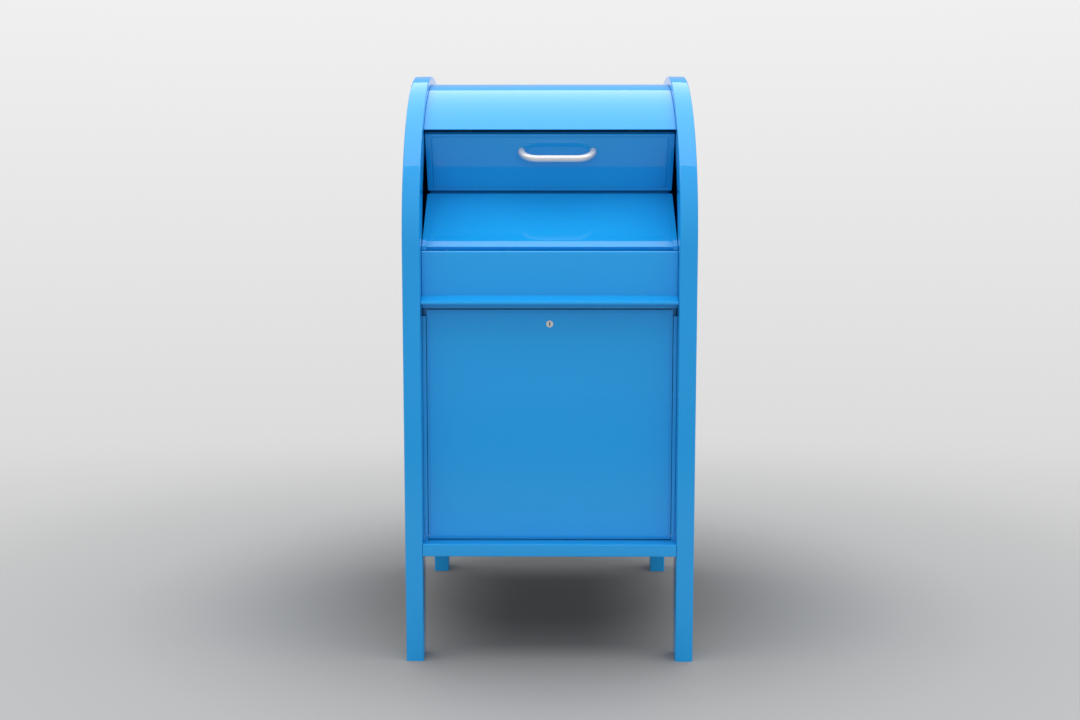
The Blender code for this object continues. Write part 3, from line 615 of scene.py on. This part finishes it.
@dataclass(frozen=True)
class GlossPaint(Finish):
    """Stove enamel: a coloured coat under a clear one, with a faint orange peel."""

    roughness: float = 0.38
    clear_coat: float = 1.0
    clear_roughness: float = 0.015
    peel: float = 0.00002
    peel_strength: float = 0.5
    drift_scale: float = 3.1
    haze_scale: float = 60.0
    peel_scale: float = 520.0
    drift: float = 0.02
    haze: float = 0.08

    def surface(self, shader: Shader) -> bpy.types.NodeSocket:
        """Paint with a slow drift of tone, and a fine ripple in its coloured coat.

        Args:
            shader: The tree to build in.

        Returns:
            The finished surface.
        """
        where = self.place(shader)
        drift = shader.noise(where, self.drift_scale, 2.0)
        haze = shader.noise(where, self.haze_scale, 3.0)
        ripple = shader.noise(where, self.peel_scale, 1.0)
        paint = shader.node(
            "ShaderNodeBsdfPrincipled",
            None,
            Base_Color=shader.blend(
                drift.limited(), self.tinted(-self.drift), self.tinted(self.drift)
            ),
            Roughness=haze * self.haze + (self.roughness - self.haze / 2),
            Normal=shader.bump(ripple, self.peel, self.peel_strength),
            Specular_IOR_Level=0.0,
            Coat_Weight=self.clear_coat,
            Coat_Roughness=self.clear_roughness,
        )
        return paint.outputs["BSDF"]


@dataclass(frozen=True)
class ZincPlate(Finish):
    """Dull zinc-plated steel, with a cloudy tone and faint rolling lines."""

    roughness: float = 0.42
    spangle_scale: float = 160.0
    cloud_scale: float = 14.0
    rolling_scale: Triple = (6.0, 420.0, 420.0)
    rolling_depth: float = 0.00003
    rolling_strength: float = 0.4
    dullness: float = 0.16

    def surface(self, shader: Shader) -> bpy.types.NodeSocket:
        """Metal whose crystals and rolling lines vary its tone and shine.

        Args:
            shader: The tree to build in.

        Returns:
            The finished surface.
        """
        where = self.place(shader)
        spangle = shader.node(
            "ShaderNodeTexVoronoi", None, Vector=where, Scale=self.spangle_scale
        )
        cloud = shader.noise(where, self.cloud_scale, 4.0)
        stretched = shader.node("ShaderNodeMapping", None, Vector=where, Scale=self.rolling_scale)
        lines = shader.noise(stretched.outputs["Vector"], 1.0, 2.0)
        tone = shader.number(spangle.outputs["Distance"]) * 0.35 + cloud * 0.5
        plate = shader.node(
            "ShaderNodeBsdfPrincipled",
            None,
            Base_Color=shader.blend(tone.limited(), self.tinted(-0.18), self.tinted(0.16)),
            Metallic=1.0,
            Roughness=cloud * self.dullness + (self.roughness - self.dullness / 2),
            Normal=shader.bump(lines, self.rolling_depth, self.rolling_strength),
        )
        return plate.outputs["BSDF"]


@dataclass(frozen=True)
class SatinRod(Finish):
    """Polished stainless rod with a fine drawn grain round it."""

    roughness: float = 0.26
    metallic: float = 0.45
    grain_scale: float = 900.0
    grain_depth: float = 0.00001
    grain_strength: float = 0.35
    smear_scale: float = 35.0
    smear: float = 0.1

    def surface(self, shader: Shader) -> bpy.types.NodeSocket:
        """Metal with a fine grain that varies its shine.

        Args:
            shader: The tree to build in.

        Returns:
            The finished surface.
        """
        where = self.place(shader)
        grain = shader.noise(where, self.grain_scale, 2.0)
        smear = shader.noise(where, self.smear_scale, 2.0)
        rod = shader.node(
            "ShaderNodeBsdfPrincipled",
            None,
            Base_Color=shader.blend(smear.limited(), self.tinted(-0.03), self.tinted(0.03)),
            Metallic=self.metallic,
            Roughness=smear * self.smear + (self.roughness - self.smear / 2),
            Normal=shader.bump(grain, self.grain_depth, self.grain_strength),
        )
        return rod.outputs["BSDF"]


@dataclass(frozen=True)
class Plated(Finish):
    """Bright plating with the finest of scratches."""

    roughness: float = 0.16
    scuff_scale: float = 700.0
    scuff: float = 0.5

    def surface(self, shader: Shader) -> bpy.types.NodeSocket:
        """Bright metal, slightly duller where keys have scratched it.

        Args:
            shader: The tree to build in.

        Returns:
            The finished surface.
        """
        where = self.place(shader)
        scuff = shader.noise(where, self.scuff_scale, 3.0).power(3.0)
        plating = shader.node(
            "ShaderNodeBsdfPrincipled",
            None,
            Base_Color=shader.blend(scuff.limited(), self.tinted(0.02), self.tinted(-0.12)),
            Metallic=1.0,
            Roughness=scuff * self.scuff + self.roughness,
        )
        return plating.outputs["BSDF"]


@dataclass(frozen=True)
class Moulded(Finish):
    """Rubber or plastic with a fine moulded grain."""

    roughness: float = 0.6
    grain: float = 0.00004
    grain_scale: float = 1400.0
    grain_strength: float = 0.5
    dust_scale: float = 22.0
    dust: float = 0.14

    def surface(self, shader: Shader) -> bpy.types.NodeSocket:
        """A dark moulding with grain and a little dust in its tone.

        Args:
            shader: The tree to build in.

        Returns:
            The finished surface.
        """
        where = self.place(shader)
        grain = shader.noise(where, self.grain_scale, 2.0)
        dust = shader.noise(where, self.dust_scale, 4.0)
        moulding = shader.node(
            "ShaderNodeBsdfPrincipled",
            None,
            Base_Color=shader.blend(dust.limited(), self.tinted(-0.1), self.tinted(0.5)),
            Roughness=dust * self.dust + (self.roughness - self.dust / 2),
            Normal=shader.bump(grain, self.grain, self.grain_strength),
        )
        return moulding.outputs["BSDF"]


BLUE = GlossPaint("paint_blue", (0.0105, 0.315, 0.735))
# Painted shade: a darker copy of the blue paint for the hopper hinge, so the crease at the foot of
# the hopper reads as shaded.
HINGE_PAINTED_SHADE_BLUE = GlossPaint("paint_blue", (0.002, 0.075, 0.26), shade="hinge", clear_coat=0.15)
# Painted shade: black paint on the hopper stop strip and on the keyhole's walls, standing for the
# shade in the gap behind the hopper door and in the keyway.
BLACK_PAINTED_SHADE = GlossPaint("paint_black", (0.010, 0.012, 0.016), roughness=0.45, clear_coat=0.3)
ZINC = ZincPlate("zinc_steel", (0.46, 0.48, 0.50))
STAINLESS = SatinRod("stainless", (0.76, 0.75, 0.76), roughness=0.42)
CHROME = Plated("lock_chrome", (0.97, 0.97, 0.96), roughness=0.45)
RUBBER = Moulded("black_rubber", (0.012, 0.012, 0.013), roughness=0.72)
PLASTIC = Moulded("black_plastic", (0.020, 0.020, 0.021), roughness=0.5)


# --------------------------------------------------------------------------- sub-assemblies


@dataclass
class TubeFrames:
    """The two bent side frames and the four square rails between their legs."""

    depth: float = 0.058
    wall: float = 0.0025
    corner: float = 0.003
    rail_wall: float = 0.002
    rail_corner: float = 0.0015
    corner_segments: int = 6
    bend_steps: int = 144

    def build(self) -> None:
        """Makes both frames and all four rails."""
        for side in ("left", "right"):
            self.arch(f"arch_frame_{side}")
            self.rail(f"side_rail_{side}", Vector((0, 1, 0)))
        for place in ("front", "rear"):
            self.rail(f"{place}_rail", Vector((1, 0, 0)))

    def arch(self, node: str) -> None:
        """One frame: a rounded tube that goes up, over the dome and down.

        Args:
            node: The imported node.
        """
        low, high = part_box(node)
        radius = (high.y - low.y) / 2
        spring = high.z - radius
        foot = Vector((high.x, low.y + self.depth, 0))
        tube = Workpiece.section(f"{node}_tube", Vector((low.x, low.y, 0)), foot)
        with tube.editing():
            bpy.ops.mesh.select_all(action="SELECT")
            tube.round_corners(self.corner, self.corner_segments)
            tube.open_loop()
            tube.extrude((0, 0, spring))
            tube.swing((0, 0, spring), (-1, 0, 0), pi, self.bend_steps)
            tube.extrude((0, 0, -spring))
            tube.tidy()
        tube.thicken(self.wall, -1.0).smooth()
        tube.settle(BLUE, Body.SHELL, node)

    def rail(self, node: str, along: Vector) -> None:
        """One straight rail.

        Args:
            node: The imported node.
            along: The direction that it runs in.
        """
        low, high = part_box(node)
        run = (high - low).dot(along)
        tube = Workpiece.section(f"{node}_tube", low, high - along * run)
        with tube.editing():
            bpy.ops.mesh.select_all(action="SELECT")
            tube.round_corners(self.rail_corner, self.corner_segments)
            tube.open_loop()
            tube.extrude(along * run)
            tube.tidy()
        tube.thicken(self.rail_wall, -1.0).smooth()
        tube.settle(BLUE, Body.SHELL, node)


@dataclass
class Walls:
    """The roof, the side panels in the arches, the rear panel and the floor tray."""

    sheet: float = 0.002
    front_edge: float = radians(43.0)
    roof_steps: int = 120
    dome_sides: int = 256
    edge: float = 0.0005
    flat: float = radians(0.1)

    def build(self) -> None:
        """Makes all the walls."""
        self.roof()
        for side in ("left", "right"):
            self.side(f"side_panel_{side}")
        rear = Workpiece.copy_of("rear_panel", "rear_panel_sheet").soften(self.edge)
        rear.settle(BLUE, Body.SHELL, "rear_panel")
        tray = Workpiece.copy_of("floor_tray", "floor_tray_pressing").soften(self.edge)
        tray.settle(ZINC, Body.SHELL, "floor_tray")

    def roof(self) -> None:
        """The curved sheet, from its straight rear lap over to the edge above the hopper."""
        low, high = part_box("roof_sheet")
        arch_low, arch_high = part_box("arch_frame_left")
        spring = arch_high.z - (arch_high.y - arch_low.y) / 2
        foot, bend = Vector((high.y, low.z)), Vector((high.y, spring))
        roof = Workpiece.strip("roof_skin", foot, bend, high.x)
        with roof.editing():
            roof.pick(Part.EDGE, lambda middle, run: abs(middle.z - spring) < MATCH)
            roof.swing((0, 0, spring), (1, 0, 0), pi - self.front_edge, self.roof_steps)
            roof.tidy()
        roof.thicken(self.sheet, -1.0).soften(self.edge)
        roof.settle(BLUE, Body.SHELL, "roof_sheet")

    def side(self, node: str) -> None:
        """One side panel: a straight sheet with a round top.

        Args:
            node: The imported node.
        """
        low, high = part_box(node)
        radius = (high.y - low.y) / 2
        spring = high.z - radius
        Workpiece.clear_selection()
        bpy.ops.mesh.primitive_cylinder_add(
            vertices=self.dome_sides,
            radius=radius,
            depth=high.x - low.x,
            location=((low.x + high.x) / 2, 0, spring),
            rotation=(0, pi / 2, 0),
        )
        panel = Workpiece.adopt(f"{node}_sheet")
        with panel.editing():
            bpy.ops.mesh.select_all(action="SELECT")
            bpy.ops.mesh.bisect(
                plane_co=(0, 0, spring), plane_no=(0, 0, 1), use_fill=True, clear_inner=True
            )
            panel.tidy()
            panel.pick(Part.FACE, lambda middle, normal: normal.z < -FACING)
            panel.extrude((0, 0, low.z - spring))
            panel.tidy()
            bpy.ops.mesh.dissolve_limited(angle_limit=self.flat)
        panel.soften(self.edge)
        panel.settle(BLUE, Body.SHELL, node)


@dataclass
class FoldedSheet:
    """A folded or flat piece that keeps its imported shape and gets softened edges."""

    node: str
    finish: Finish
    body: Body
    edge: float
    segments: int = 3

    def build(self) -> None:
        """Makes the piece."""
        piece = Workpiece.copy_of(self.node, f"{self.node}_made")
        piece.soften(self.edge, self.segments)
        piece.settle(self.finish, self.body, self.node)


def folded_sheets() -> list[FoldedSheet]:
    """Lists every folded or flat piece.

    Returns:
        The pieces, each with its finish, its body and how round its edges are.
    """
    shell, hopper, door, core = Body.SHELL, Body.HOPPER, Body.DOOR, Body.CORE
    rows = [
        (BLUE, shell, 0.0008, "front_upper_panel drip_cap header jamb_left jamb_right"),
        (BLUE, shell, 0.0008, "ledge_panel ledge_trim_left ledge_trim_right"),
        (BLUE, door, 0.0006, "access_door_panel"),
        # The stop strip is painted black: painted shade in the narrow gap behind the hopper door.
        (BLACK_PAINTED_SHADE, shell, 0.0004, "hopper_stop_strip"),
        (ZINC, shell, 0.0004, "throat_baffle strike_plate"),
        # The hinge takes the darker blue: painted shade in the crease between the hopper door and
        # the ledge.
        (HINGE_PAINTED_SHADE_BLUE, shell, 0.0002, "hopper_hinge_fixed hopper_hinge_pin"),
        (HINGE_PAINTED_SHADE_BLUE, hopper, 0.0002, "hopper_hinge_moving"),
        (ZINC, hopper, 0.0004, "hopper_tray hopper_cheek_left hopper_cheek_right"),
        (ZINC, hopper, 0.0008, "hopper_counterweight handle_nut_left handle_nut_right"),
        (ZINC, door, 0.0004, "door_stiffener_left door_stiffener_centre door_stiffener_right"),
        (ZINC, door, 0.0002, "door_pin_left door_pin_right lock_nut"),
        (ZINC, core, 0.0003, "lock_cam cam_screw"),
        (RUBBER, shell, 0.0008, "door_seal_left door_seal_right door_seal_top"),
        (RUBBER, shell, 0.0010, "hopper_bumper_left hopper_bumper_right"),
        (PLASTIC, shell, 0.0006, "foot_plug_front_left foot_plug_front_right"),
        (PLASTIC, shell, 0.0006, "foot_plug_rear_left foot_plug_rear_right"),
    ]
    return [
        FoldedSheet(node, finish, body, edge)
        for finish, body, edge, nodes in rows
        for node in nodes.split()
    ]


@dataclass
class HopperDoor:
    """The tipping door's pan: a face with a pressed line round it and flanges turned back."""

    lean: float = radians(28.0)
    sheet: float = 0.002
    top_gap: float = 0.0022
    side_border: float = 0.0098
    end_border: float = 0.0043
    line_width: float = 0.0024
    line_depth: float = 0.0013
    centred: float = 0.002
    edge: float = 0.0006

    def build(self) -> None:
        """Presses the face, turns its flanges back and gives it its sheet."""
        low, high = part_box("hopper_door_panel")
        across, up = cos(self.lean), sin(self.lean)
        span = across**2 - up**2
        depth = ((high.y - low.y) * across - (high.z - low.z) * up) / span
        length = ((high.z - low.z) * across - (high.y - low.y) * up) / span - self.top_gap
        outward = Vector((0, -across, -up))
        rising = Vector((0, -up, across))
        foot = Vector((0, high.y, low.z)) + Vector((0, -across * depth, 0))
        head = foot + rising * length
        pan = Workpiece.strip("hopper_door_pan", foot.yz, head.yz, high.x)
        shift = rising * (self.side_border - self.end_border)
        with pan.editing():
            bpy.ops.mesh.select_all(action="SELECT")
            bpy.ops.mesh.inset(thickness=self.side_border)
            for end, way in ((head, 1), (foot, -1)):
                inner = end - rising * (self.side_border * way)
                pan.pick(Part.EDGE, lambda middle, run: (middle - inner).length < MATCH)
                bpy.ops.transform.translate(value=shift * way)
            face = (foot + head) / 2
            pan.pick(Part.FACE, lambda middle, normal: (middle - face).length < self.centred)
            pan.extrude(outward * -self.line_depth)
            bpy.ops.mesh.inset(thickness=self.line_width)
            pan.extrude(outward * self.line_depth)
            pan.pick(Part.EDGE, lambda middle, run: self.is_rim(middle, run, foot, head, high.x))
            pan.extrude(outward * (self.sheet - depth))
            pan.tidy()
        pan.thicken(self.sheet, -1.0).soften(self.edge)
        pan.settle(BLUE, Body.HOPPER, "hopper_door_panel")

    @staticmethod
    def is_rim(middle: Vector, run: Vector, foot: Vector, head: Vector, half: float) -> bool:
        """Says if an edge is one of the four round the face.

        Args:
            middle: The edge's middle.
            run: Its direction, as long as the edge.
            foot: The middle of the face's lower edge.
            head: The middle of its upper edge.
            half: Half the face's width.

        Returns:
            True for an edge of the face's outline.
        """
        on_end = min((middle - foot).length, (middle - head).length) < MATCH
        on_side = abs(abs(middle.x) - half) < MATCH and abs(run.x) < MATCH
        return on_end or on_side


@dataclass
class Lock:
    """The cam lock's face: a plated barrel round a core with a keyhole."""

    keyhole_width: float = 0.0026
    keyhole_height: float = 0.0058
    keyhole_depth: float = 0.003
    lip: float = 0.0003
    slack: float = 1e-5
    barrel_edge: float = 0.0002
    core_edge: float = 0.0001

    def build(self) -> None:
        """Makes the barrel, and cuts the keyhole in its core and blackens its walls as painted
        shade.
        """
        barrel = Workpiece.copy_of("lock_barrel", "lock_barrel_turned")
        barrel.soften(self.barrel_edge).settle(CHROME, Body.DOOR, "lock_barrel")
        low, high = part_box("lock_core")
        centre = (low + high) / 2
        core = Workpiece.copy_of("lock_core", "lock_core_turned")
        with core.editing():
            for way in (-1, 1):
                self.score(centre + Vector((way * self.keyhole_width / 2, 0, 0)), (1, 0, 0))
                self.score(centre + Vector((0, 0, way * self.keyhole_height / 2)), (0, 0, 1))
            core.pick(
                Part.FACE,
                lambda middle, normal: normal.y < -FACING and self.in_keyhole(middle - centre),
            )
            core.extrude((0, self.keyhole_depth, 0))
            core.tidy()
        core.soften(self.core_edge, 2).settle(CHROME, Body.CORE, "lock_core")
        # The keyhole's walls behind a thin lip take the black paint: painted shade in the keyway.
        core.item.data.materials.append(BLACK_PAINTED_SHADE.material())
        shallow, deep = low.y + self.lip, low.y + self.keyhole_depth + MATCH
        for side in core.item.data.polygons:
            inside = self.in_keyhole(side.center - centre, self.slack)
            if inside and shallow < side.center.y < deep:
                side.material_index = 1

    @staticmethod
    def score(place: Vector, across: Triple) -> None:
        """Cuts a line right round the piece in edit mode, and removes nothing."""
        bpy.ops.mesh.select_all(action="SELECT")
        bpy.ops.mesh.bisect(plane_co=place, plane_no=across)

    def in_keyhole(self, offset: Vector, slack: float = 0.0) -> bool:
        """Says if an offset from the lock's axis lies inside the keyhole's outline."""
        across, along = self.keyhole_width / 2 + slack, self.keyhole_height / 2 + slack
        return abs(offset.x) < across and abs(offset.z) < along


@dataclass
class Handle:
    """The bent rod on the hopper door."""

    radius: float = 0.0067
    bend: float = 0.032
    standoff: float = 0.036
    lean: float = radians(28.0)
    inside: float = 0.0095
    bend_steps: int = 28

    def build(self) -> None:
        """Bends the rod: out of the door, along it and back in."""
        low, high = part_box("hopper_handle")
        middle = (low.x + high.x) / 2
        half = high.x - middle - self.radius
        inward = Vector((0, cos(self.lean), sin(self.lean)))
        upward = Vector((0, -sin(self.lean), cos(self.lean)))
        bar = Vector((middle, low.y + self.radius, low.z + self.radius))
        start = bar + inward * (self.standoff + self.inside) - Vector((half, 0, 0))
        rod = Workpiece.ring("hopper_handle_rod", start, self.radius, (self.lean - pi / 2, 0, 0))
        straight = self.standoff + self.inside - self.bend
        across = 2 * (half - self.bend)
        with rod.editing():
            bpy.ops.mesh.select_mode(type="EDGE")
            bpy.ops.mesh.select_all(action="SELECT")
            rod.extrude(inward * -straight)
            turn = bar + inward * self.bend - Vector((half - self.bend, 0, 0))
            rod.swing(turn, upward, pi / 2, self.bend_steps)
            rod.extrude((across, 0, 0))
            turn.x += across
            rod.swing(turn, upward, pi / 2, self.bend_steps)
            rod.extrude(inward * straight)
            rod.tidy(close_ends=True)
        rod.smooth(40.0)
        rod.settle(STAINLESS, Body.HOPPER, "hopper_handle")


# --------------------------------------------------------------------------- the studio


# Painted shadow on the floor: its grey by distance from the mailbox, as a share of the reach,
# darkest under and round the feet.
FLOOR_SHADOW_REACH = 3.0
FLOOR_PAINTED_SHADOW = [
    (0.00, 0.19),
    (0.08, 0.18),
    (0.13, 0.23),
    (0.20, 0.31),
    (0.26, 0.37),
    (0.32, 0.41),
    (0.45, 0.44),
    (0.60, 0.50),
    (1.00, 0.60),
]


@dataclass
class Studio:
    """A pale floor with a painted shadow round the mailbox, one large soft light overhead, a
    bright surround and the camera.
    """

    floor_shadow_centre: float = 0.15
    floor_front: float = -3.83
    floor_half: float = 9.0
    fade_start: float = 0.8
    fade_end: float = 2.3
    fade_squash: float = 0.35
    thin_from: float = -1.6
    thin_to: float = 0.4
    painted_dim_from: float = -2.6
    painted_dim_to: float = -1.2
    painted_dim_grey: float = 0.30
    light_height: float = 2.6
    light_front: float = -1.50
    light_back: float = 1.92
    light_width: float = 5.0
    light_radiance: float = 1.66
    fill_power: float = 41.0
    fill_place: Triple = (0.0, -4.6, 1.1)
    fill_width: float = 3.4
    fill_height: float = 1.6
    camera_place: Triple = (0.0, -2.8081, 0.8730)
    camera_down: float = radians(6.703)
    camera_left: float = radians(0.42)
    lens: float = 44.17
    sensor: float = 36.0

    def build(self) -> None:
        """Sets up everything round the mailbox."""
        self.floor()
        self.light()
        self.fill()
        self.surround()
        self.camera()
        bpy.context.scene.view_settings.view_transform = "Standard"

    def floor(self) -> None:
        """A wide floor with a painted shadow round the mailbox and painted shade towards the
        front, that thins out into the surround behind the mailbox.
        """
        Workpiece.clear_selection()
        depth = self.floor_half - self.floor_front
        bpy.ops.mesh.primitive_plane_add(size=1.0, location=(0, self.floor_front + depth / 2, 0))
        bpy.context.object.scale = (2 * self.floor_half, depth, 1)
        floor = Workpiece.adopt("studio_floor")
        made = bpy.data.materials.new("studio_floor")
        made.use_nodes = True
        shader = Shader(made.node_tree)
        where = shader.node("ShaderNodeTexCoord").outputs["Object"]
        parts = shader.node("ShaderNodeSeparateXYZ", None, Vector=where)
        across = shader.number(parts.outputs["X"])
        back = shader.number(parts.outputs["Y"])
        reach = (across * across * self.fade_squash + back.power(2.0)).power(0.5)
        fade = shader.ramp(reach, self.fade_start, self.fade_end)
        thin = fade * shader.ramp(back, self.thin_from, self.thin_to)
        # Painted shadow: the floor's grey darkens towards a point a little behind the mailbox's
        # middle.
        from_centre = back - self.floor_shadow_centre
        radius = (across * across + from_centre * from_centre).power(0.5)
        shade = shader.node(
            "ShaderNodeValToRGB",
            {"stops": [(place, (grey, grey, grey, 1.0)) for place, grey in FLOOR_PAINTED_SHADOW]},
            Fac=radius * (1 / FLOOR_SHADOW_REACH),
        )
        # Painted shade: the floor's grey falls to a darker grey towards the front, far from the
        # overhead light.
        front = shader.ramp(back, self.painted_dim_from, self.painted_dim_to)
        painted_dimmed = shader.node("ShaderNodeMix", {"data_type": "RGBA"})
        shader.tree.links.new(front.output, painted_dimmed.inputs[0])
        painted_dimmed.inputs[6].default_value = (self.painted_dim_grey, self.painted_dim_grey, self.painted_dim_grey, 1.0)
        shader.tree.links.new(shade.outputs["Color"], painted_dimmed.inputs[7])
        paper = shader.node("ShaderNodeBsdfDiffuse", None, Color=painted_dimmed.outputs[2])
        clear = shader.node("ShaderNodeBsdfTransparent")
        mix = shader.node("ShaderNodeMixShader", None, Fac=thin)
        shader.tree.links.new(paper.outputs[0], mix.inputs[1])
        shader.tree.links.new(clear.outputs[0], mix.inputs[2])
        shader.output(mix.outputs[0])
        floor.item.data.materials.append(made)

    def light(self) -> None:
        """The overhead panel, facing straight down."""
        depth = self.light_back - self.light_front
        Workpiece.clear_selection()
        middle = (self.light_front + self.light_back) / 2
        bpy.ops.object.light_add(type="AREA", location=(0, middle, self.light_height))
        lamp = bpy.context.object
        lamp.name = "overhead_panel"
        lamp.data.shape = "RECTANGLE"
        lamp.data.size = self.light_width
        lamp.data.size_y = depth
        lamp.data.energy = self.light_radiance * pi * depth * self.light_width

    def fill(self) -> None:
        """A wide, weak light from the front that leaves no reflection in the paint."""
        Workpiece.clear_selection()
        turned = (pi / 2, 0, 0)
        bpy.ops.object.light_add(type="AREA", location=self.fill_place, rotation=turned)
        lamp = bpy.context.object
        lamp.name = "front_fill"
        lamp.data.shape = "RECTANGLE"
        lamp.data.size = self.fill_width
        lamp.data.size_y = self.fill_height
        lamp.data.energy = self.fill_power
        lamp.visible_glossy = False
        lamp.visible_camera = False

    def surround(self) -> None:
        """A surround that is bright above and behind, and dimmer low down in front."""
        world = bpy.data.worlds.new("studio_surround")
        bpy.context.scene.world = world
        world.use_nodes = True
        tree = world.node_tree
        shader = Shader(tree)
        where = shader.node("ShaderNodeTexCoord").outputs["Generated"]
        parts = shader.node("ShaderNodeSeparateXYZ", None, Vector=where)
        height = shader.number(parts.outputs["Z"])
        ahead = shader.number(parts.outputs["Y"])
        share = shader.ramp(ahead, -0.5, 0.6)
        front = shader.ramp(height, -0.1, 0.75) * 0.44 + 0.44
        horizon = shader.ramp(height, -0.20, 0.14, 0.70, 0.87, eased=False)
        back = horizon - shader.ramp(height, 0.16, 0.34, 0.0, 0.37)
        strength = back * share + front * (1 - share)
        white = (1.0, 1.0, 1.0, 1.0)
        glow = shader.node("ShaderNodeBackground", None, Color=white, Strength=strength)
        end = tree.nodes.new("ShaderNodeOutputWorld")
        tree.links.new(glow.outputs[0], end.inputs["Surface"])

    def camera(self) -> None:
        """The camera, a little above the mailbox's middle and looking slightly down."""
        Workpiece.clear_selection()
        turned = (pi / 2 - self.camera_down, 0, self.camera_left)
        bpy.ops.object.camera_add(location=self.camera_place, rotation=turned)
        camera = bpy.context.object
        camera.data.lens = self.lens
        camera.data.sensor_width = self.sensor
        camera.data.dof.use_dof = False
        bpy.context.scene.camera = camera


def main() -> None:
    """Builds every sub-assembly in order, and then the studio."""
    logging.basicConfig(level=logging.INFO, format="%(name)s: %(message)s")
    Studio().build()
    TubeFrames().build()
    Walls().build()
    HopperDoor().build()
    Handle().build()
    Lock().build()
    for piece in folded_sheets():
        piece.build()
    Workpiece.clear_selection()


if __name__ == "__main__":
    main()
